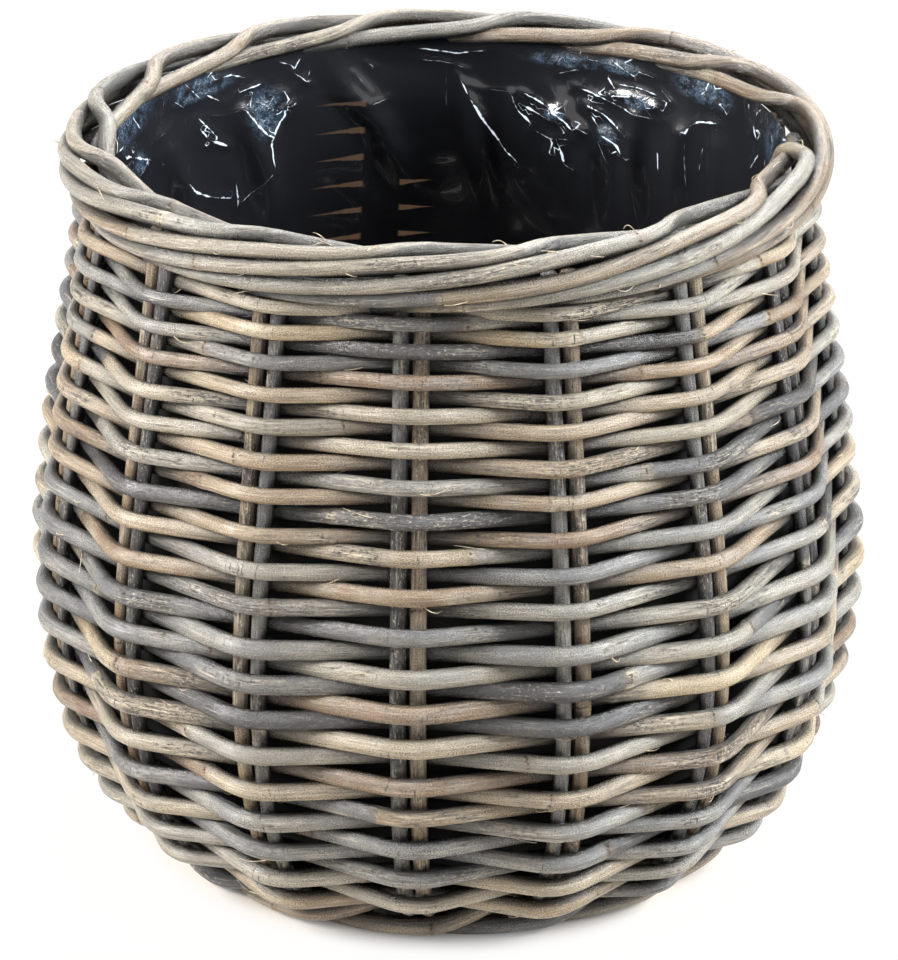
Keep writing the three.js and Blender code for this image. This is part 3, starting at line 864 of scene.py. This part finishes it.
# Liner: a film bag against the inside of the weave, its rim tucked behind the border's inner turns
liner = {
    "profile": [
        (0.5, 26.2), (60, 26.2), (118, 26.4), (129, 30.4), (140, 34.0), (158, 56.0), (171.5, 92.0),
        (176.5, 137.7), (173.2, 189.5), (163.2, 254.9), (157.6, 296.0), (157.0, 318.0), (157.2, 330.0),
        (157.6, 343.0),
    ],
    "columns": 340,
    "backCrowding": 0.09,     # more columns at the back, where the film is seen
    "rows": 140,
    "rimCrowding": 2.0,
    "thickness": 0.0003,
    "perDegree": 2.7,         # millimetres of film for a degree round the bag
    "weldWithin": 0.00002,
    # crumpled film: depth, cells round the bag, their height in millimetres, and seed
    "crumples": {"sag": (2.6, 16, 80, 21), "net": (1.3, 32, 30, 22), "thin": (1.7, 128, 7, 24)},
    # wrinkles on the bottom: depth and width
    "wrinkles": [(5.0, 52), (2.4, 34)],
    # height and width of a crease, then degrees to the right of the back and millimetres up, along it
    "creases": [
        (2.6, 2.0, (-79, 325), (-67, 312), (-73, 306)), (1.6, 1.6, (-63, 311), (-62, 304)),
        (1.8, 1.8, (-47, 336), (-42, 336), (-38, 332)), (1.8, 1.6, (-41, 326), (-35, 328)),
        (3.0, 2.4, (-40, 319), (-37, 308), (-33, 297)),
        (2.2, 1.8, (-30, 321), (-31, 310), (-34, 297), (-33, 282)),
        (2.4, 1.8, (-51, 316), (-48, 307), (-43, 300)), (2.0, 1.6, (-51, 321), (-47, 310), (-44, 301)),
        (2.4, 2.0, (-56, 292), (-52, 283), (-47, 276), (-41, 271)), (1.6, 2.2, (-41, 282), (-40, 264)),
        (1.8, 1.6, (-33, 282), (-36, 274), (-40, 266)), (1.2, 2.4, (-80, 331), (-68, 318), (-58, 322)),
        (1.2, 2.0, (-49, 320), (-44, 317), (-39, 318)), (1.8, 1.5, (-29, 331), (-25, 323)),
        (1.8, 1.6, (-6, 337), (2, 334), (8, 336)), (1.4, 1.6, (-5, 331), (1, 329), (4, 326)),
        (2.6, 1.7, (2, 324), (4, 314), (6, 305), (11, 284), (14, 275)), (1.2, 1.8, (0, 328), (0, 304)),
        (2.4, 1.7, (12, 315), (13, 307), (16, 299)), (2.2, 1.7, (12, 312), (15, 308), (20, 302)),
        (2.4, 1.8, (14, 316), (19, 310), (22, 305), (25, 299)), (1.2, 2.0, (3, 320), (7, 316), (15, 315)),
        (1.4, 1.8, (16, 297), (19, 293), (24, 294)), (2.6, 2.2, (20, 293), (19, 284)),
        (2.4, 2.0, (21, 290), (22, 279), (24, 277)), (2.4, 1.8, (26, 314), (30, 310), (33, 305), (36, 301)),
        (2.6, 1.8, (27, 311), (30, 299), (34, 294), (31, 289)),
        (2.0, 1.6, (24, 322), (30, 318), (36, 314), (42, 313)), (2.6, 1.8, (31, 338), (34, 334), (37, 331)),
        (2.0, 1.6, (31, 320), (38, 323)), (1.8, 1.6, (32, 326), (37, 327), (42, 325)),
        (2.0, 1.5, (42, 329), (45, 324)), (1.8, 1.5, (43, 318), (44, 324)),
        (2.2, 1.7, (49, 309), (50, 316), (52, 319), (58, 323)), (2.6, 2.0, (57, 333), (60, 328)),
        (2.2, 1.8, (69, 331), (71, 325)), (2.0, 3.0, (42, 298), (42, 286)), (1.4, 3.0, (54, 310), (52, 292)),
        (1.4, 2.6, (49, 309), (49, 272)), (1.6, 1.8, (75, 320), (79, 308)),
    ],
    # wide folds without a bright edge: height, width and line
    "folds": [
        (5.0, 6.0, (38, 336), (36, 285), (35, 240)), (5.5, 7.0, (47, 338), (46, 280), (47, 235)),
        (4.5, 6.0, (56, 338), (58, 275), (57, 235)), (4.5, 7.0, (2, 338), (6, 300), (9, 240)),
        (4.0, 8.0, (-24, 340), (-12, 296), (-3, 240)), (4.5, 7.0, (-64, 338), (-56, 290), (-46, 240)),
        (4.0, 7.0, (-45, 340), (-36, 290), (-30, 240)), (4.0, 7.0, (15, 340), (27, 290), (28, 240)),
    ],
    "smallCreases": 170,
    # places where the film is stretched thin, with a painted bluish sheen and small glints: degrees from the
    # back, height, half width, half height
    "thinPlaces": [
        (20.5, 306, 2.6, 4), (31, 300, 2.4, 6), (37, 320, 4, 4), (-74, 340, 12, 14), (-35, 313, 4.5, 14),
        (53, 335, 9, 7), (82, 330, 8, 14), (33, 335, 5, 4), (-73, 313, 6, 7), (-50, 334, 9, 6),
        (140, 326, 9, 8), (-150, 320, 10, 9), (-118, 326, 8, 7), (110, 318, 9, 8), (22, 334, 8, 4),
    ],
}


def crumple(x, y, seed, cells):  # smooth random values over the film, the same after a full turn
    table = np.random.default_rng(seed).uniform(-1, 1, (cells, 64))
    cx, cy = np.floor(x).astype(int), np.floor(y).astype(int)
    sx, sy = smooth(x - cx), smooth(y - cy)

    def at(dx, dy):
        return table[(cx + dx) % cells, (cy + dy) % table.shape[1]]

    low = at(0, 0) * (1 - sx) + at(1, 0) * sx
    high = at(0, 1) * (1 - sx) + at(1, 1) * sx
    return low * (1 - sy) + high * sy


def nearLine(x, y, line):  # signed distance from a line of straight spans, and how far along it
    line = [(right * liner["perDegree"], up) for right, up in line]
    nearest = np.full(np.shape(x), 1e9)
    signed, passed = nearest.copy(), np.zeros(np.shape(x))
    total = sum(math.dist(a, b) for a, b in zip(line[:-1], line[1:]))
    done = 0
    for (ax, ay), (bx, by) in zip(line[:-1], line[1:]):
        dx, dy = bx - ax, by - ay
        long = math.hypot(dx, dy)
        along = np.clip(((x - ax) * dx + (y - ay) * dy) / long ** 2, 0, 1)
        away = np.hypot(x - ax - along * dx, y - ay - along * dy)
        closer = away < nearest
        nearest = np.where(closer, away, nearest)
        side = np.where((x - ax) * dy < (y - ay) * dx, -1, 1)
        signed = np.where(closer, away * side, signed)
        passed = np.where(closer, (done + along * long) / total, passed)
        done += long
    return signed, passed


def smallCreases():  # random ones: height, width and line
    rng = np.random.default_rng(77)
    small = []
    for number in range(liner["smallCreases"]):
        start = rng.uniform(-180, 180), 342 - abs(rng.normal(0, 24))
        if number % 2 == 0:     # half of them crowd where the film is stretched
            right, up, wide, high = liner["thinPlaces"][number // 2 % len(liner["thinPlaces"])]
            start = rng.normal(right, wide * 0.6), rng.normal(up, high * 0.6)
        lean, long = rng.uniform(-1.3, 1.3), rng.uniform(4, 16)
        end = start[0] + long * math.cos(lean) / liner["perDegree"], start[1] + long * math.sin(lean)
        small.append((rng.uniform(0.8, 2.2), rng.uniform(1.2, 2.0), start, end))
    return small


def growLiner():
    columns, rows = liner["columns"], liner["rows"]
    profile = np.array(liner["profile"], float)
    runs = lengthsAlong(profile)
    down = np.linspace(0, 1, rows + 1)
    down = (1 - (1 - down) ** liner["rimCrowding"]) * runs[-1]
    radius = np.maximum(through(down, runs, profile[:, 0]), 0.4)
    height = through(down, runs, profile[:, 1])
    turn = np.linspace(0, 1, columns + 1)
    turn = 2 * math.pi * (turn + liner["backCrowding"] * np.sin(2 * math.pi * turn))
    mesh, i, j = gridMesh("linerFilm", columns, rows)
    angle = turn[i]
    up = height[j]
    fromRim = runs[-1] - down[j]
    round1000 = np.where(i == columns, 0, angle) / (2 * math.pi) * 1000   # a film about a metre round
    fromBack = 180 - np.degrees(angle)    # degrees to the right of the back, as the camera sees it
    across = fromBack * liner["perDegree"]

    def crumpled(key, spot):
        depth, cells, tall, seed = liner["crumples"][key]
        return depth * crumple(spot * cells / 1000, fromRim / tall, seed, cells)

    # broad sags, then a faint net of creases on the slant
    upper = np.exp(-(fromRim / 90) ** 2)
    sag = liner["crumples"]["sag"][0] + crumpled("sag", round1000)
    folds = (0.2 + 0.8 * upper) * sag / 2
    slanted = round1000 + 0.7 * fromRim
    folds = folds + (0.1 + upper) * np.abs(crumpled("net", slanted))
    for high, wide, *line in liner["folds"]:
        signed, passed = nearLine(across, up, line)
        swell = np.sin(math.pi * np.clip(passed, 0, 1)) ** 2
        folds = folds + high * np.exp(-(signed / wide) ** 2) * swell
    # the distance from the brightest crease nearby, and how bright the painted glint along it is
    crease, glint = np.full(len(angle), 9.0), np.zeros(len(angle))
    for high, wide, *line in [*liner["creases"], *smallCreases()]:
        signed, passed = nearLine(across, up, line)
        folds = folds + 0.5 * high * np.exp(-np.abs(signed) / wide)
        tapered = np.clip(6 * np.minimum(passed, 1 - passed), 0, 1)
        seen = tapered * np.exp(-(signed / 3) ** 2) * min(max((high - 0.9) / 1.4, 0.1), 1)
        crease = np.where(seen > glint, signed, crease)
        glint = np.maximum(glint, seen)
    thin = np.zeros(len(angle))
    for right, middle, wide, high in liner["thinPlaces"]:
        away = (fromBack - right + 180) % 360 - 180
        thin = np.maximum(thin, np.exp(-(away / wide) ** 2 - ((up - middle) / high) ** 2))
    folds = folds + thin * np.abs(crumpled("thin", slanted))
    # the film is held at the rim and near the bottom
    held = np.clip(fromRim / 32, 0, 1) * np.clip((radius[j] - 40) / 80, 0, 1)
    folds = folds * held * np.clip((up - 26) / 60, 0.15, 1)
    reach = radius[j] - folds
    x, y = reach * np.sin(angle), -reach * np.cos(angle)
    # the film lies wrinkled on the bottom
    (deep, wide), (lessDeep, narrow) = liner["wrinkles"]
    wrinkles = deep * np.abs(crumple(x / wide + 9, y / wide + 9, 25, 64))
    slantX, slantY = (x + y) / narrow, (y - x / 2) / narrow
    wrinkles = wrinkles + lessDeep * np.abs(crumple(slantX + 20, slantY + 20, 26, 64))
    up = up + wrinkles * np.clip((70 - up) / 40, 0, 1) * np.clip(reach / 60, 0.3, 1)
    mesh.vertices.foreach_set("co", (np.stack([x, y, up], 1) * 0.001).ravel())
    setFields(mesh, {"thin": thin, "crease": crease, "glint": glint})
    closeMesh(mesh, liner["weldWithin"], holesBelow=0.1)
    return mesh


# Film: black, glossy, bluish where stretched thin with a painted sheen, painted glints on creases, a painted
# brown glow through the weave
filmLook = {
    "black": colourOf(29, 30, 34),
    # blue: the tint of stretched film, also a painted sheen; pale: whitened film, also painted glints
    "blue": colourOf(58, 78, 100),
    "pale": colourOf(170, 182, 194),
    # glow and glint go into the emission: a painted glow of light through the weave, and painted glints on
    # creases
    "glow": colourOf(80, 62, 46),
    "glint": colourOf(196, 204, 212),
    "rowFoot": 0.2362,
    "rowPitch": 0.0150,
    # point and blunt end in degrees right of the back, lowest and highest place in metres
    "wedges": [(-26, -15, 0.232, 0.318), (-1.5, -8.5, 0.232, 0.275)],
    "wedgeHeight": 0.0021,
    "relief": (0.003, 0.5),
}


def filmMaterial():
    material, sheet = newMaterial("black film")
    look = filmLook
    spot = sheet.place()
    x = sheet.node("ShaderNodeSeparateXYZ", {}, {0: spot})
    y, z = x.output(1), x.output(2)
    fromBack = sheet.maths("ARCTAN2", x, y) * (180 / math.pi)
    rows = (z - look["rowFoot"]) / look["rowPitch"] + 0.5
    fromRow = abs(sheet.maths("FRACT", rows) - 0.5) * look["rowPitch"]
    ragged = sheet.noise(spot, 160, 2)
    # painted glow: brown wedges where light from outside shines through gaps in the weave
    glow = 0.0
    for point, blunt, lowest, highest in look["wedges"]:
        along = (fromBack - point) / (blunt - point)
        size = along * look["wedgeHeight"] * (0.5 + ragged)
        body = (size - fromRow).between(0, 0.0008) * along.between(1.02, 0.95) * along.between(0.0, 0.05)
        glow = body * z.between(lowest, lowest + 0.001) * z.between(highest, highest - 0.001) + glow
    thin, crease, bright = [sheet.attribute(key) for key in ("thin", "crease", "glint")]
    cloud = sheet.noise(spot, 140, 4, 0.7)
    fine = sheet.noise(spot, 420, 3)
    web = abs(fine - 0.5).between(0.03, 0.005)
    # bluish where the film is stretched thin, a tint that also paints the sheen of a reflection
    blue = thin.between(0.25, 0.75) * cloud.between(0.36, 0.6) * 0.7
    colour = blue.mix(look["black"], look["blue"])
    # a pale web of fine lines where the film is stretched: painted small glints
    colour = (thin.between(0.3, 0.8) * web * cloud.between(0.4, 0.6) * 0.5).mix(colour, look["pale"])
    # crease lines: pale in the base colour, as creased film whitens, and a painted glint in the emission
    off = abs(crease + (cloud - 0.5) * 1.6)
    half = bright * (ragged.between(0.34, 0.66) * 0.75 + 0.16) * cloud.between(0.32, 0.52) + 0.02
    thread = (half - off).between(0, 0.35) * bright.between(0.06, 0.5)
    colour = thread.mix(colour, look["pale"])
    # the emission paints light: the brown glow through the weave and the glints on the creases, though the
    # film is no lamp
    shine = glow.mix((0, 0, 0, 1), look["glow"])
    shine = (thread * ragged.between(0.3, 0.5)).mix(shine, look["glint"])
    soft = sheet.noise(spot, 26, 2)
    height = abs(soft - 0.5) * 0.3 + abs(fine - 0.5) * thin * 0.8
    skin = {"Base Color": colour, "Roughness": 0.13 + cloud * 0.12, "Coat Weight": 0.7,
            "Coat Roughness": 0.04, "Emission Color": shine, "Emission Strength": 1.0}
    finishMaterial(sheet, skin, (height, *look["relief"]))
    return material


filmBack, filmSheet = newMaterial("black film, outside")
dust = filmSheet.noise(filmSheet.place(), 60, 4)
dusty = dust.between(0.35, 0.75).mix(colourOf(14, 14, 15), colourOf(30, 29, 28))
finishMaterial(filmSheet, {"Base Color": dusty, "Roughness": 0.45 + dust * 0.3, "Specular IOR Level": 0.2})

linerPiece = addObject("linerFilm", growLiner())
linerPiece.data.materials.append(filmBack)
linerPiece.data.materials.append(filmMaterial())
shell = linerPiece.modifiers.new("film", "SOLIDIFY")
shell.thickness = liner["thickness"]
shell.offset = 1
shell.material_offset = 1
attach(linerPiece, "root")
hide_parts("liner")
print("liner made")


# studio: a pale floor, a white background and soft lamps
studio = {
    "floorSize": 14.0,
    "floorWhite": 0.955,
    "floorShade": (0.8, 0.73, 0.64, 1),    # under the planter
    "shadeEdge": (0.13, 0.158),
    "fill": 0.07,
    "aim": (0, 0, 0.2),
    "lamps": [
        # name, place, size, power, colour
        ("lampTop", (-0.1, -0.5, 2.3), 0.8, 17, (1.0, 0.98, 0.94)),
        ("lampFront", (-0.5, -2.2, 1.9), 0.8, 4, (1.0, 0.98, 0.95)),
        ("lampLeft", (-2.1, -0.35, 1.4), 0.9, 122, (1.0, 0.975, 0.94)),
        ("lampRight", (2.1, -0.25, 1.5), 0.9, 144, (0.95, 0.98, 1.0)),
        ("lampBack", (0.3, 1.9, 1.9), 0.8, 50, (1.0, 1.0, 1.0)),
    ],
}


def seenRay(sheet):  # 1 for what the camera sees, also in a gloss
    path = sheet.node("ShaderNodeLightPath")
    seen = path.output("Is Camera Ray")
    for key in ("Is Glossy Ray", "Is Transmission Ray"):
        seen = sheet.maths("MAXIMUM", seen, path.output(key))
    return seen


floorMesh, _, _ = gridMesh("floor", 8, 8, studio["floorSize"])
floorMaterial, floorSheet = newMaterial("white floor")
plain = floorSheet.node("ShaderNodeBsdfDiffuse", {}, {"Color": studio["floorShade"]})
glow = floorSheet.node("ShaderNodeEmission", {}, {"Color": (1, 1, 1, 1)})
apart = floorSheet.node("ShaderNodeVectorMath", {"operation": "LENGTH"}, {0: floorSheet.place()}, 1)
shown = seenRay(floorSheet) * apart.between(*studio["shadeEdge"]) * studio["floorWhite"]
both = floorSheet.node("ShaderNodeMixShader", {}, {0: shown, 1: plain, 2: glow})
floorSheet.node("ShaderNodeOutputMaterial", {}, {"Surface": both})
floorMesh.materials.append(floorMaterial)
floorObject = addObject("floor", floorMesh)

world = bpy.data.worlds.new("studio")
world.use_nodes = True
world.node_tree.nodes.clear()
sky = Shade(world.node_tree)
level = seenRay(sky).between(0, 1) * (1 - studio["fill"]) + studio["fill"]
backdrop = sky.node("ShaderNodeBackground", {}, {"Color": (1, 1, 1, 1), "Strength": level})
sky.node("ShaderNodeOutputWorld", {}, {"Surface": backdrop})
scene.world = world

for name, spot, size, power, colour in studio["lamps"]:
    lampData = bpy.data.lights.new(name, "AREA")
    lampData.size = size
    lampData.energy = power
    lampData.color = colour
    lamp = addObject(name, lampData)
    lamp.location = spot
    lamp.rotation_euler = (Vector(studio["aim"]) - Vector(spot)).to_track_quat("-Z", "Y").to_euler()
print("studio lit")
